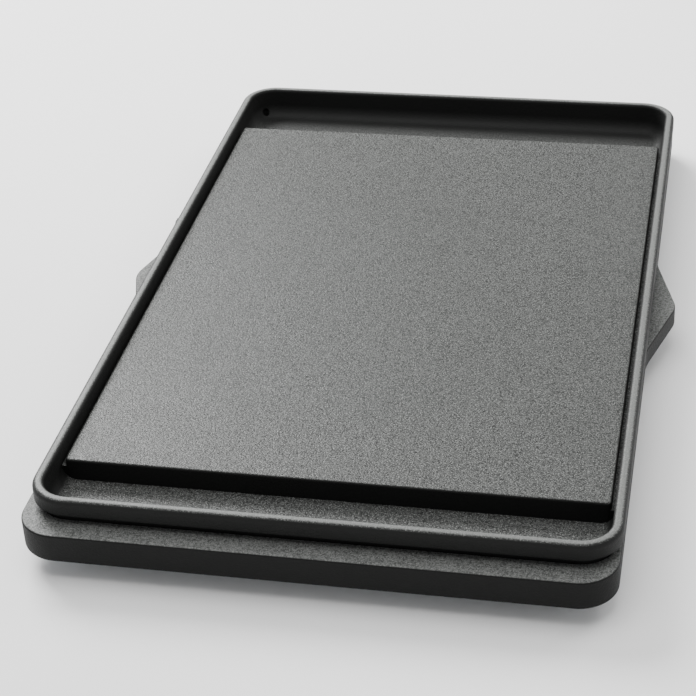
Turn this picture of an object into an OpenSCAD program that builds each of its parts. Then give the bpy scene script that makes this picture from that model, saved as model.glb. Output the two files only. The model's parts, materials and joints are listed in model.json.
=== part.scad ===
// Low electric griddle: a lift-off cast plate on a flat heated base.
// +X is right, +Y is towards the rear, +Z is up. The origin is on the table, under the middle.

/* [Cooking plate] */
// Outer width of the plate across its rim
plate_w = 306.8; // [306:0.1:307]
// Outer length of the plate along its rim
plate_l = 504.4; // [498:0.2:510]
// Plan radius of the plate's outer corners
plate_r = 22.2; // [21:0.1:23]
// Width of the raised rim
rim_w = 6.1; // [5.8:0.1:6.2]
// Height of the rim above the cooking table
rim_h = 7; // [6:0.1:7.5]
// Height of the outer skirt below the rim top
skirt_h = 9.4; // [8.5:0.1:10]
// Depth of the grease troughs below the rim top
trough_h = 19.7; // [18:0.1:20]
// Radius of the cove at the foot of the trough walls
cove_r = 8; // [5:0.5:9]
// Front edge of the cooking table, measured from the middle
table_front = 206.9; // [204:0.1:209]
// Rear edge of the cooking table, measured from the middle
table_rear = 197.2; // [195:0.1:200]
// Width of the narrow channel beside the table
channel_w = 2.1; // [1.8:0.1:3]
// Depth of the narrow channel below the table
channel_h = 4.4; // [2.5:0.1:4.4]
// Radius of the drain hole
drain_r = 2.3; // [2:0.05:2.5]

/* [Base] */
// Overall height, from the feet to the rim top
total_h = 41.1; // [40.8:0.1:42]
// Drop from the rim top to the ledge of the base
ledge_drop = 13.8; // [13.6:0.1:14]
// Height of the base wall
base_h = 16.8; // [16.6:0.1:16.9]
// Width of the base
base_w = 309.4; // [309:0.1:310]
// Shift of the base to the left, the control side, from under the middle of the plate
base_shift = 2; // [1.8:0.1:2.2]
// Width of the ledge in front of and behind the plate
end_ledge = 11.4; // [11:0.1:12]
// Plan radius of the base corners
base_r = 21; // [20:0.5:22]
// Distance of each lifting ear's tip from the middle
ear_tip = 166.6; // [166.2:0.1:168]
// Radius of the ear's tip
ear_r = 22; // [20:0.5:24]
// Slope of the ear's flanks, from the base wall
ear_slope = 16; // [15:0.5:18]
// Radius of the hollow curve at the foot of each flank
ear_fillet = 60; // [40:5:70]
// Thickness of the ear
ear_t = 12; // [11:0.1:13]

/* [Heating] */
// Radius of the sheathed heating element
element_r = 3.3; // [3:0.1:3.3]
// Distance between neighbouring legs of the element
leg_pitch = 66; // [62:1:68]

/* [Controls] */
// Radius of the control knob
knob_r = 8; // [7.5:0.1:8.4]
// Place of the knob along the side
knob_y = 84; // [82:0.5:86]
// Place of the power inlet along the side
inlet_y = 128; // [127:0.5:129]
// Height of the knob and inlet above the table
control_z = 12.9; // [12.8:0.1:13]

/* [Grease drawer] */
// Width of the drawer
drawer_w = 116; // [100:1:117]
// Length of the drawer
drawer_l = 71; // [60:1:71]

/* [Hidden] */
$fn = 64;
eps = 0.02;

// Heights
table_z = total_h - rim_h;
channel_z = table_z - channel_h;
skirt_z = total_h - skirt_h;
trough_z = total_h - trough_h;
ledge_z = total_h - ledge_drop;
base_z = ledge_z - base_h;
plate_under_z = ledge_z + 0.8;
trough_under_z = trough_z - 4;

// Plan sizes of the plate
inner_w = plate_w - 2 * rim_w;
inner_l = plate_l - 2 * rim_w;
inner_r = plate_r - rim_w;
body_inset = 4.2;
body_w = plate_w - 2 * body_inset;
body_l = plate_l - 2 * body_inset;
body_r = plate_r - body_inset;
table_w = inner_w - 2 * channel_w;
step_wall = 5;
rim_edge_out = 2.5;
rim_edge_in = 1.2;
table_edge = 2;
drain_x = -inner_w / 2 + 6.7;
drain_y = inner_l / 2 - 4.6;
drain_mouth = [drain_x, drain_y, trough_z + 3.6];
drain_mouth_r = 2.7;

// Plan sizes of the base, which has its own middle, left of the plate's
base_x = -base_shift;
base_l = plate_l + 2 * end_ledge;
wall_t = 2.7;
well_w = base_w - 2 * wall_t;
well_l = base_l - 2 * wall_t;
well_r = base_r - wall_t;
plate_gap = 0.4;
flange_t = 2.5;
shelf_w = 14.5;
shelf_l = 378;
pad_x = 144;
shelf_z = ledge_z - 2.7;
shelf_t = 2;
pad_z = shelf_z + shelf_t;

// Bottom cover
cover_z = base_z + 0.2;
cover_t = 1.2;
cover_top = cover_z + cover_t;
screw_r = 1.25;
boss_r = 3.6;
boss_inset = 7.6;
end_boss_y = base_l / 2 - boss_inset;
right_boss_x = base_x + base_w / 2 - boss_inset;
left_boss_x = base_x - base_w / 2 + boss_inset;
cover_bosses = [
  [-110, -end_boss_y], [0, -end_boss_y], [110, -end_boss_y], [-8, end_boss_y], [110, end_boss_y],
  [right_boss_x, -150], [right_boss_x, 0], [right_boss_x, 150],
  [left_boss_x, -150], [left_boss_x, 0]
];

// Reflector pan
pan_x0 = -124;
pan_x1 = 130;
pan_y0 = -196;
pan_y1 = 182;
pan_z = cover_top + 4.1;
pan_t = 0.6;
pan_h = 8.6;
standoffs = [[-96, -170], [104, -170], [-96, 120], [104, 120]];

// Heating element, a sheathed tube of four legs
element_z = plate_under_z - 0.4 - element_r;
leg_x = [-1.5 * leg_pitch, -0.5 * leg_pitch, 0.5 * leg_pitch, 1.5 * leg_pitch];
front_bend_y = -150;
rear_bend_y = 118;
turn_r = 20;
end_y = [150, 170];
end_x = -132;
bracket_y = [-120, -20, 60];
saddle_t = 1;
saddle_z = element_z - element_r - saddle_t;

// Control box on the left side
box_y0 = 52;
box_y1 = 180;
box_z0 = 1.5;
box_z1 = shelf_z - 0.6;
box_t = 1.6;
box_x0 = base_x - base_w / 2;
box_x1 = -125.5;
bush_r = 4;
shaft_r = 3;
running = 0.05;
bezel_r = 10.2;
knob_x0 = box_x0 - 8.4;
knob_x1 = box_x0 - 2.4;
lamp_y = 62;
lamp_r = 3.4;
thermostat_x = box_x0 + 3.2;
thermostat_size = [19.5, 30, 14];

// Power inlet, the hot-condition three-blade type
inlet_size = [19.2, 27.4, 19.4];
inlet_flange = [1.2, 48, 20.4];
inlet_hole_gap = 40;
socket_size = [15, 24.4, 16.6];
blade_size = [14.5, 2, 4];
blade_gap = 14;
tab_l = 6.5;
tab_w = 6.3;
tab_t = 0.8;

// Heat sensor
sensor = [-66, 84];
sensor_stem_r = 4;
sensor_top = plate_under_z - 0.1;
holder_z = pan_z + pan_t;
holder_h = 6.4;
spring_z0 = holder_z + 0.6;
spring_z1 = spring_z0 + 3.2;

// Feet
foot_r = 12;
foot_screw_z = 3.2;
foot_nut_t = 2.4;
feet_at = [[-126, -226], [126, -226], [-110, 164], [110, 164]];

// Drawer
front_t = 2.6;
drawer_x0 = -146;
drawer_y1 = base_l / 2 - front_t + 0.2;
drawer_z0 = 3;
drawer_z1 = trough_under_z - 0.9;
drawer_t = 1;
drawer_window_z = trough_under_z + 0.3;
front_x1 = drawer_x0 + drawer_w + 2.4;
front_y0 = base_l / 2 - base_r;

module up(z) {
  translate([0, 0, z])
  children();
}

// Flat outline of a rectangle with round corners
module rounded_rect(w, l, r) {
  square([w - 2 * r, l], center = true);
  square([w, l - 2 * r], center = true);
  for (x = [-1, 1], y = [-1, 1])
    translate([x * (w / 2 - r), y * (l / 2 - r)])
    circle(r);
}

module slab(w, l, r, h) {
  linear_extrude(h)
  rounded_rect(w, l, r);
}

// Sweeps a profile round a rounded rectangle. Its x is the distance out from the corner's centre.
module sweep_rect(w, l, r) {
  for (side = [0 : 3]) {
    a = side % 2 == 0 ? w / 2 - r : l / 2 - r;
    b = side % 2 == 0 ? l / 2 - r : w / 2 - r;
    rotate(90 * side)
    translate([a, b, 0]) {
      rotate([90, 0, 0])
      linear_extrude(2 * b)
      children();
      rotate_extrude(angle = 90)
      children();
    }
  }
}

// A closed basin shape with a cove of radius f round its floor
module coved_slab(w, l, r, h, f) {
  up(f)
  slab(w, l, r, h - f);
  slab(w - 2 * f, l - 2 * f, r - f, h);
  up(f)
  sweep_rect(w, l, r)
  intersection() {
    translate([r - f, 0])
    circle(f);
    translate([r - f - eps, -f])
    square([f + 2 * eps, f + eps]);
  }
}

// Rim section: outer radius, inner radius, flat foot
module rim_section() {
  x0 = plate_r - rim_w;
  x1 = plate_r;
  translate([x0, skirt_z])
  square([rim_w, skirt_h - rim_edge_out]);
  translate([x0, skirt_z])
  square([rim_w - rim_edge_out, skirt_h - rim_edge_in]);
  translate([x0 + rim_edge_in, skirt_z])
  square([rim_w - rim_edge_in - rim_edge_out, skirt_h]);
  translate([x1 - rim_edge_out, total_h - rim_edge_out])
  circle(rim_edge_out);
  translate([x0 + rim_edge_in, total_h - rim_edge_in])
  circle(rim_edge_in);
}

// Section across the cooking table, with its long edges rounded
module table_section() {
  under = plate_under_z + 1;
  translate([-table_w / 2, under])
  square([table_w, table_z - table_edge - under]);
  translate([-table_w / 2 + table_edge, under])
  square([table_w - 2 * table_edge, table_z - under]);
  for (side = [-1, 1])
    translate([side * (table_w / 2 - table_edge), table_z - table_edge])
    circle(table_edge);
}

// Keeps the part of its children that lies beyond the table, at the front (-1) or rear (1)
module beyond(end, distance) {
  intersection() {
    children();
    translate([-plate_w, end > 0 ? distance : -distance - 60, 0])
    cube([2 * plate_w, 60, total_h + 1]);
  }
}

module cooking_plate() {
  color("#2d2e2d")
  difference() {
    union() {
      difference() {
        union() {
          up(plate_under_z)
          slab(body_w, body_l, body_r, skirt_z - plate_under_z + 2);
          for (end = [-1, 1])
            beyond(end, (end > 0 ? table_rear : table_front) - step_wall)
            up(trough_under_z)
            slab(body_w, body_l, body_r, skirt_z - trough_under_z);
        }
        up(channel_z)
        slab(inner_w, inner_l, inner_r, total_h);
        for (end = [-1, 1])
          beyond(end, end > 0 ? table_rear : table_front)
          up(trough_z)
          coved_slab(inner_w, inner_l, inner_r, total_h, cove_r);
      }
      sweep_rect(plate_w, plate_l, plate_r)
      rim_section();
      translate([0, table_rear, 0])
      rotate([90, 0, 0])
      linear_extrude(table_front + table_rear)
      table_section();
      translate([drain_x, drain_y, trough_under_z - 0.6])
      cylinder(r = drain_r + 1.1, h = 3);
    }
    translate([drain_x, drain_y, trough_under_z - 1])
    cylinder(r = drain_r, h = drain_mouth[2] - trough_under_z + 1);
    translate(drain_mouth)
    sphere(drain_mouth_r);
  }
}

// Plan outline of a lifting ear on a wall at side_x: a round tip, straight flanks, hollow feet
module ear_outline(side_x) {
  root_x = side_x - wall_t / 2;
  cx = ear_tip - ear_r;
  tx = cx + ear_r * cos(ear_slope);
  ty = ear_r * sin(ear_slope);
  foot_y = ty + (tx - side_x) / tan(ear_slope);
  hollow = ear_fillet * tan(ear_slope / 2);
  hollow_y = foot_y + hollow;
  mid_x = side_x + ear_fillet * (1 - cos(ear_slope));
  mid_y = hollow_y - ear_fillet * sin(ear_slope);
  translate([cx, 0])
  circle(ear_r);
  difference() {
    polygon([
      [root_x, -hollow_y], [side_x, -hollow_y], [side_x, -foot_y], [mid_x, -mid_y], [tx, -ty],
      [tx, ty], [mid_x, mid_y], [side_x, foot_y], [side_x, hollow_y], [root_x, hollow_y]
    ]);
    for (end = [-1, 1])
      translate([side_x + ear_fillet, end * hollow_y])
      circle(ear_fillet, $fn = 360);
  }
}

module ear(side_x) {
  up(ledge_z - ear_t)
  linear_extrude(ear_t)
  intersection() {
    ear_outline(side_x);
    translate([side_x - wall_t / 2, -base_l / 2])
    square([ear_tip, base_l]);
  }
}

module base_housing() {
  color("#262726")
  difference() {
    union() {
      difference() {
        translate([base_x, 0, base_z])
        slab(base_w, base_l, base_r, base_h);
        translate([base_x, 0, base_z - 1])
        slab(well_w, well_l, well_r, base_h - flange_t + 1);
        up(base_z)
        slab(body_w + 2 * plate_gap, body_l + 2 * plate_gap, body_r + plate_gap, base_h + 1);
      }
      ear(base_w / 2 + base_x);
      mirror([1, 0, 0])
      ear(base_w / 2 - base_x);
      for (side = [-1, 1])
        translate([base_x + side * (well_w - shelf_w + 1) / 2, 0, shelf_z])
        linear_extrude(shelf_t)
        square([shelf_w + 1, shelf_l], center = true);
      for (p = cover_bosses)
        translate([p[0], p[1], cover_top])
        cylinder(r = boss_r, h = shelf_z - cover_top + 1);
    }
    for (p = cover_bosses)
      translate([p[0], p[1], cover_top - 1])
      cylinder(r = screw_r + 0.05, h = 9);
    translate([box_x0 - 1, box_y0, base_z - 1])
    cube([wall_t + 2, box_y1 - box_y0, box_z1 - base_z + 1.1]);
    translate([-base_w, front_y0 - 0.4, base_z - 1])
    cube([base_w + front_x1 + 0.4, base_l, drawer_window_z - base_z + 1]);
  }
}

module cover_slots() {
  for (x = [-60 : 15 : 75], y = [-90, 60])
    translate([x, y, cover_z - 1])
    linear_extrude(cover_t + 2)
    rounded_rect(4, 60, 1.9);
}

module bottom_cover() {
  color("#8d9092")
  difference() {
    translate([base_x, 0, cover_z])
    slab(well_w - 0.6, well_l - 0.6, well_r, cover_t);
    cover_slots();
    translate([box_x0, box_y0 - 1, cover_z - 1])
    cube([box_x1 - box_x0 + 0.4, box_y1 - box_y0 + 2, cover_t + 2]);
    translate([drawer_x0 - 0.6, drawer_y1 - drawer_l - 1, cover_z - 1])
    cube([drawer_w + 1.2, drawer_l + 20, cover_t + 2]);
    for (p = concat(cover_bosses, feet_at))
      translate([p[0], p[1], cover_z - 1])
      cylinder(r = screw_r + 0.4, h = cover_t + 2);
  }
}

module reflector_pan() {
  w = pan_x1 - pan_x0;
  l = pan_y1 - pan_y0;
  color("#c9cbcc")
  difference() {
    translate([(pan_x0 + pan_x1) / 2, (pan_y0 + pan_y1) / 2, pan_z])
    difference() {
      slab(w, l, 10, pan_h);
      up(pan_t)
      slab(w - 2 * pan_t, l - 2 * pan_t, 10 - pan_t, pan_h);
    }
    for (y = end_y)
      translate([pan_x0 - 2, y - element_r - 1.3, pan_z + 3])
      cube([6, 2 * element_r + 2.6, pan_h]);
    for (p = standoffs)
      translate([p[0], p[1], pan_z - 1])
      cylinder(r = 1.6, h = 3);
    translate([sensor[0], sensor[1], pan_z - 1])
    cylinder(r = 1.6, h = 3);
  }
}

module pan_standoffs() {
  color("#b9bcbe")
  for (p = standoffs)
    translate([p[0], p[1], cover_top]) {
      cylinder(r = 4, h = pan_z - cover_top);
      cylinder(r = 1.5, h = pan_z + pan_t - cover_top);
      up(pan_z + pan_t - cover_top)
      cylinder(r = 2.8, h = 1.4);
    }
}

// Straight run of element from a to b, in the element's plane
module rod(a, b, r) {
  d = b - a;
  translate([a[0], a[1], 0])
  rotate([0, 90, atan2(d[1], d[0])])
  cylinder(r = r, h = norm(d));
}

module bend(centre, radius, start, sweep, r) {
  translate([centre[0], centre[1], 0])
  rotate(start)
  rotate_extrude(angle = sweep)
  translate([radius, 0])
  circle(r);
}

module heating_element() {
  half = leg_pitch / 2;
  color("#5b5f61")
  up(element_z) {
    rod([leg_x[0], front_bend_y], [leg_x[0], end_y[0] - turn_r], element_r);
    rod([leg_x[1], front_bend_y], [leg_x[1], rear_bend_y], element_r);
    rod([leg_x[2], front_bend_y], [leg_x[2], rear_bend_y], element_r);
    rod([leg_x[3], front_bend_y], [leg_x[3], end_y[1] - turn_r], element_r);
    bend([leg_x[0] + half, front_bend_y], half, 180, 180, element_r);
    bend([leg_x[2] + half, front_bend_y], half, 180, 180, element_r);
    bend([0, rear_bend_y], half, 0, 180, element_r);
    bend([leg_x[0] - turn_r, end_y[0] - turn_r], turn_r, 0, 90, element_r);
    bend([leg_x[3] - turn_r, end_y[1] - turn_r], turn_r, 0, 90, element_r);
    rod([leg_x[0] - turn_r, end_y[0]], [end_x, end_y[0]], element_r);
    rod([leg_x[3] - turn_r, end_y[1]], [end_x, end_y[1]], element_r);
  }
}

module element_terminals() {
  color("#c2b280")
  for (y = end_y)
    translate([end_x - 5.6, y - 2.4, element_z - 0.4])
    cube([5.6, 4.8, 0.8]);
}

module element_bushes() {
  color("#e8e4da")
  for (y = end_y)
    translate([pan_x0 - 4, y, element_z])
    rotate([0, 90, 0])
    difference() {
      union() {
        cylinder(r = element_r + 1, h = 7);
        cylinder(r = element_r + 2, h = 3);
      }
      up(-1)
      cylinder(r = element_r + 0.03, h = 9);
      translate([-element_r - 12.1, -10, -1])
      cube([12, 20, 9]);
    }
}

// One cross strip with an open saddle under every leg of the element
module bracket() {
  strip_x0 = leg_x[0] - 9;
  strip_x1 = leg_x[3] + 9;
  difference() {
    union() {
      translate([strip_x0, -4, saddle_z - 0.9])
      cube([strip_x1 - strip_x0, 8, 1.1]);
      for (x = leg_x)
        translate([x, 4, element_z])
        rotate([90, 0, 0])
        cylinder(r = element_r + saddle_t, h = 8);
      for (x = [strip_x0, -5, strip_x1 - 10])
        translate([x, -4, pan_z + pan_t])
        cube([10, 8, saddle_z - 0.8 - pan_z - pan_t]);
    }
    for (x = leg_x)
      translate([x, 5, element_z])
      rotate([90, 0, 0])
      cylinder(r = element_r + 0.04, h = 10);
    translate([strip_x0, -5, element_z + 1.6])
    cube([strip_x1 - strip_x0, 10, 10]);
  }
}

module element_brackets() {
  color("#a9adaf")
  for (y = bracket_y)
    translate([0, y, 0])
    bracket();
}

module bracket_screws() {
  color("#d0d2d3")
  for (y = bracket_y, x = [leg_x[0] - 6.6, 0, leg_x[3] + 6.6])
    translate([x, y, saddle_z + 0.2])
    cylinder(r = 2.2, h = 1.3);
}

module support_pads() {
  color("#3b2f2a")
  for (x = [-1, 1], y = [-160, -80, 0, 80, 160])
    translate([x * pad_x, y, pad_z])
    slab(8, 24, 3.9, plate_under_z - pad_z);
}

module control_box() {
  w = box_x1 - box_x0;
  l = box_y1 - box_y0 - 0.4;
  cx = (box_x0 + box_x1) / 2;
  cy = (box_y0 + box_y1) / 2;
  color("#1f2020")
  difference() {
    translate([cx, cy, box_z0])
    slab(w, l, 2, box_z1 - box_z0);
    translate([cx, cy, box_z0 + box_t])
    slab(w - 2 * box_t, l - 2 * box_t, 1, box_z1);
    translate([box_x0 - 1, knob_y, control_z])
    rotate([0, 90, 0])
    cylinder(r = bush_r + 0.1, h = 5);
    translate([box_x0 - 1, lamp_y, control_z])
    rotate([0, 90, 0])
    cylinder(r = lamp_r + 0.1, h = 5);
    translate([box_x0 - 1, inlet_y - inlet_size[1] / 2 - 0.1, control_z - inlet_size[2] / 2 - 0.1])
    cube([box_t + 2, inlet_size[1] + 0.2, inlet_size[2] + 0.2]);
    for (y = [-1, 1])
      translate([box_x0 - 1, inlet_y + y * inlet_hole_gap / 2, control_z])
      rotate([0, 90, 0])
      cylinder(r = 1.4, h = 5);
    translate([box_x1 - 4, knob_y - 2, pan_z - 3.4])
    cube([6, 4, 3]);
    for (y = end_y)
      translate([box_x1 - 4, y - 6, element_z - element_r - 2.4])
      cube([6, 12, 20]);
  }
}

module box_screws() {
  color("#d0d2d3")
  for (y = [box_y0 + 10, box_y1 - 36, box_y1 - 10])
    translate([box_x1, y, cover_top + 2.6])
    rotate([0, 90, 0])
    cylinder(r = 2.2, h = 1.4);
}

module heat_shield() {
  color("#cfd2d4")
  difference() {
    translate([box_x0 + wall_t + 0.4, box_y0 + 1, box_z1 + 0.05])
    cube([box_x1 - box_x0 - wall_t - 0.4, end_y[0] - 9 - box_y0, 0.45]);
    translate([left_boss_x, 0, 0])
    cylinder(r = boss_r + 0.5, h = total_h);
  }
}

module thermostat_body() {
  s = thermostat_size;
  color("#d9d2bf")
  difference() {
    union() {
      translate([thermostat_x, knob_y - s[1] / 2, control_z - s[2] / 2])
      cube(s);
      translate([box_x0 - 2.2, knob_y, control_z])
      rotate([0, 90, 0])
      cylinder(r = bush_r, h = 6);
      for (y = [-9, 9])
        translate([thermostat_x + s[0] - 1, knob_y + y - 3.15, control_z - 0.4])
        cube([4.4, 6.3, 0.8]);
    }
    translate([box_x0 - 4, knob_y, control_z])
    rotate([0, 90, 0])
    cylinder(r = shaft_r + running, h = 14);
  }
}

module thermostat_nut() {
  color("#c4c7c9")
  translate([box_x0 - 1.8, knob_y, control_z])
  rotate([0, 90, 0])
  difference() {
    cylinder(r = 5.6, h = 1.8, $fn = 6);
    up(-1)
    cylinder(r = bush_r + 0.03, h = 4);
  }
}

module thermostat_shaft() {
  color("#b8a46a")
  translate([knob_x0 + 2, knob_y, control_z])
  rotate([0, 90, 0])
  cylinder(r = shaft_r, h = box_x0 + 9 - knob_x0 - 2);
}

module control_knob() {
  grips = 18;
  depth = knob_x1 - knob_x0;
  color("#1c1d1d")
  translate([knob_x0, knob_y, control_z])
  rotate([0, 90, 0])
  difference() {
    union() {
      cylinder(r = knob_r - 0.7, h = depth);
      up(depth - 2)
      cylinder(r = knob_r, h = 2);
      for (i = [0 : grips - 1])
        rotate(i * 360 / grips)
        translate([knob_r - 0.8, 0, 1])
        cylinder(r = 0.7, h = depth - 2);
    }
    up(2)
    cylinder(r = shaft_r + 0.02, h = depth);
    up(depth - 1.9)
    cylinder(r = 6, h = 3);
    translate([-knob_r, -0.6, -1])
    cube([knob_r - 2, 1.2, 1.6]);
  }
}

module knob_pointer() {
  color("#e9e9e6")
  translate([knob_x0, knob_y - 0.6, control_z + 2])
  cube([0.6, 1.2, knob_r - 3]);
}

module dial_ring() {
  color("#9fa3a6")
  translate([box_x0 - 0.8, knob_y, control_z])
  rotate([0, 90, 0])
  difference() {
    cylinder(r = bezel_r, h = 0.8);
    up(-1)
    cylinder(r = 6.6, h = 3);
  }
}

// A bent wire of radius r through the points, with a slightly larger ball at every corner
module wire(points, r) {
  for (i = [0 : len(points) - 2]) {
    a = points[i];
    d = points[i + 1] - a;
    translate(a)
    rotate([0, acos(d[2] / norm(d)), atan2(d[1], d[0])])
    cylinder(r = r, h = norm(d));
  }
  for (i = [1 : 1 : len(points) - 2])
    translate(points[i])
    sphere(1.06 * r);
}

module capillary_tube() {
  x0 = thermostat_x + thermostat_size[0];
  z0 = pan_z - 1.9;
  color("#b87d4b")
  wire([
    [x0, knob_y, z0], [sensor[0], sensor[1], z0], [sensor[0], sensor[1], holder_z - 0.1]
  ], 0.8);
}

module sensor_holder() {
  color("#a9adaf")
  translate([sensor[0], sensor[1], holder_z])
  difference() {
    union() {
      cylinder(r = 7, h = holder_h);
      cylinder(r = 11, h = 1);
    }
    up(0.6)
    cylinder(r = sensor_stem_r + running, h = holder_h);
  }
}

module sensor_button() {
  color("#c98d55")
  translate([sensor[0], sensor[1], spring_z1]) {
    cylinder(r = sensor_stem_r, h = sensor_top - 1.3 - spring_z1);
    up(sensor_top - 1.3 - spring_z1)
    cylinder(r = 6, h = 1.3);
  }
}

// Helical spring: rings of points swept along a helix
spring_turns = 3;
spring_wire_r = 0.25;
spring_r = 2.8;
spring_steps = 24 * spring_turns;
spring_sides = 8;

function spring_point(i, k) =
  let (
    a = 360 * spring_turns * i / spring_steps,
    rise = spring_z1 - spring_z0 - 2 * spring_wire_r - 0.04,
    z = spring_z0 + 0.02 + spring_wire_r + rise * i / spring_steps,
    b = 360 * k / spring_sides,
    r = spring_r + spring_wire_r * cos(b)
  )
  [sensor[0] + r * cos(a), sensor[1] + r * sin(a), z + spring_wire_r * sin(b)];

module sensor_spring() {
  n = spring_sides;
  points = [for (i = [0 : spring_steps], k = [0 : n - 1]) spring_point(i, k)];
  skin = [
    for (i = [0 : spring_steps - 1], k = [0 : n - 1])
      [i * n + k, i * n + (k + 1) % n, (i + 1) * n + (k + 1) % n, (i + 1) * n + k]
  ];
  first = [for (k = [0 : n - 1]) n - 1 - k];
  last = [for (k = [0 : n - 1]) spring_steps * n + k];
  color("#d6d8d9")
  polyhedron(points = points, faces = concat(skin, [first, last]));
}

fuse_at = [-66, 40, holder_z + 3.1];

module thermal_fuse() {
  color("#cfcabd")
  translate(fuse_at)
  rotate([90, 0, 0]) {
    translate([0, 0, -6])
    cylinder(r = 2, h = 12);
    translate([0, 0, -14])
    cylinder(r = 0.5, h = 28);
  }
}

module fuse_clip() {
  color("#a9adaf")
  translate([fuse_at[0], fuse_at[1], holder_z])
  difference() {
    union() {
      translate([-2.8, -2.5, 0])
      cube([5.6, 5, 3.1]);
      translate([-6, -2.5, 0])
      cube([12, 5, 0.8]);
    }
    translate([0, 4, 3.1])
    rotate([90, 0, 0])
    cylinder(r = 2.03, h = 8);
  }
}

block = [-146, 156, box_z0 + box_t];
block_size = [12, 20, 9];

module terminal_block() {
  color("#eeeae0")
  translate(block)
  difference() {
    cube(block_size);
    for (y = [4, 10, 16]) {
      translate([-1, y, 4.5])
      rotate([0, 90, 0])
      cylinder(r = 1.7, h = block_size[0] + 2);
      translate([3, y, 4.5])
      cylinder(r = 1.6, h = 8);
    }
  }
}

module terminal_screws() {
  color("#c9b26b")
  for (y = [4, 10, 16])
    translate([block[0] + 3, block[1] + y, block[2] + 5])
    cylinder(r = 1.5, h = 3);
}

// Blade centres, across and up from the middle of the socket
blades = [[-blade_gap / 2, -2], [0, 2], [blade_gap / 2, -2]];
inlet_back = box_x0 - inlet_flange[0] + inlet_size[0];

// Bars with the section of the blades, from x over a length
module blade_bars(x, length) {
  for (b = blades)
    translate([x, inlet_y + b[0] - blade_size[1] / 2, control_z + b[1] - blade_size[2] / 2])
    cube([length, blade_size[1], blade_size[2]]);
}

module power_inlet() {
  s = inlet_size;
  f = inlet_flange;
  c = socket_size;
  x0 = box_x0 - f[0];
  cut = 3.4;
  color("#161616")
  difference() {
    union() {
      translate([x0, inlet_y - s[1] / 2, control_z - s[2] / 2])
      cube(s);
      translate([x0, inlet_y, control_z])
      rotate([90, 0, 90])
      slab(f[1], f[2], 6, f[0]);
    }
    translate([x0 - 1, inlet_y, control_z])
    rotate([90, 0, 90])
    linear_extrude(c[0] + 1)
    polygon([
      [-c[1] / 2, -c[2] / 2], [c[1] / 2, -c[2] / 2], [c[1] / 2, c[2] / 2 - cut],
      [c[1] / 2 - cut, c[2] / 2], [-c[1] / 2 + cut, c[2] / 2], [-c[1] / 2, c[2] / 2 - cut]
    ]);
    for (y = [-1, 1])
      translate([x0 - 1, inlet_y + y * inlet_hole_gap / 2, control_z])
      rotate([0, 90, 0])
      cylinder(r = 1.55, h = 5);
    blade_bars(inlet_back - 6, 8);
  }
}

module inlet_pins() {
  color("#c8b06a")
  union() {
    blade_bars(inlet_back - blade_size[0] - 3, blade_size[0] + 3);
    for (b = blades)
      translate([inlet_back, inlet_y + b[0] - tab_t / 2, control_z + b[1] - tab_w / 2])
      cube([tab_l, tab_t, tab_w]);
  }
}

module inlet_screws() {
  x0 = box_x0 - inlet_flange[0];
  color("#cfd1d2")
  for (y = [-1, 1])
    translate([x0 - 1, inlet_y + y * inlet_hole_gap / 2, control_z])
    rotate([0, 90, 0]) {
      cylinder(r = 2.8, h = 1);
      cylinder(r = 1.35, h = 8);
    }
}

wire_r = 1.1;
tab_x = inlet_back + tab_l;

module live_wires() {
  back_x = thermostat_x + thermostat_size[0] + 3.4;
  color("#6b4a2a")
  wire([
    [tab_x - 1, inlet_y - blade_gap / 2 - 1.6, control_z - 2], [tab_x - 1, inlet_y - 22, control_z - 2],
    [back_x - 2, knob_y + 16, control_z - 0.4], [back_x - 2, knob_y + 12.2, control_z - 0.4]
  ], wire_r);
}

module neutral_wires() {
  clamp = block + [block_size[0] + 0.1, 4, 4.5];
  color("#3f6fa3")
  wire([
    [tab_x - 1, inlet_y + blade_gap / 2 + 1.6, control_z - 2], [tab_x + 2, block[1] - 8, block[2] + 5],
    clamp + [3.9, 0, 0], clamp
  ], wire_r);
}

earth_x = box_x1 - box_t - 3.2;
earth_y = box_y0 + 14;

module earth_wire() {
  color("#6f9a3c")
  wire([
    [tab_x - 1, inlet_y - 0.5, control_z + 4], [tab_x - 1, inlet_y - 20, control_z + 7],
    [earth_x, earth_y + 14, control_z + 5], [earth_x, earth_y, control_z + 2]
  ], 0.9);
}

module earth_screw() {
  color("#d0d2d3")
  translate([earth_x, earth_y - 2.4, control_z + 2])
  rotate([0, 90, 0])
  cylinder(r = 2.4, h = box_x1 - box_t - earth_x - eps);
}

module pilot_lamp() {
  color("#d9a066")
  translate([box_x0 + box_t + 0.4, lamp_y, control_z])
  rotate([0, 90, 0])
  cylinder(r = 2.6, h = 14);
}

module lamp_lens() {
  color("#b3201b")
  translate([box_x0 - 1.2, lamp_y, control_z])
  rotate([0, 90, 0]) {
    cylinder(r = lamp_r, h = box_t + 1.2);
    cylinder(r = lamp_r + 0.9, h = 1.2);
  }
}

module feet() {
  color("#191919")
  for (p = feet_at)
    translate([p[0], p[1], 0])
    rotate_extrude()
    polygon([
      [4.6, 0], [foot_r - 2.2, 0], [foot_r - 1.4, 0.8], [foot_r, cover_z],
      [1.75, cover_z], [1.75, foot_screw_z + 1.8], [4.6, foot_screw_z + 1.8]
    ]);
}

module foot_screws() {
  color("#cfd1d2")
  for (p = feet_at)
    translate([p[0], p[1], foot_screw_z]) {
      cylinder(r = 3.6, h = 1.8);
      cylinder(r = 1.5, h = cover_top + foot_nut_t + 0.7 - foot_screw_z);
    }
}

module foot_nuts() {
  color("#b9bcbe")
  for (p = feet_at)
    translate([p[0], p[1], cover_top])
    difference() {
      cylinder(r = 3.2, h = foot_nut_t, $fn = 6);
      up(-1)
      cylinder(r = 1.53, h = 5);
    }
}

module cover_screws() {
  color("#cfd1d2")
  for (p = cover_bosses)
    translate([p[0], p[1], cover_z - 1.6]) {
      cylinder(r = 2.8, h = 1.6);
      cylinder(r = screw_r, h = 9);
    }
}

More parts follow.
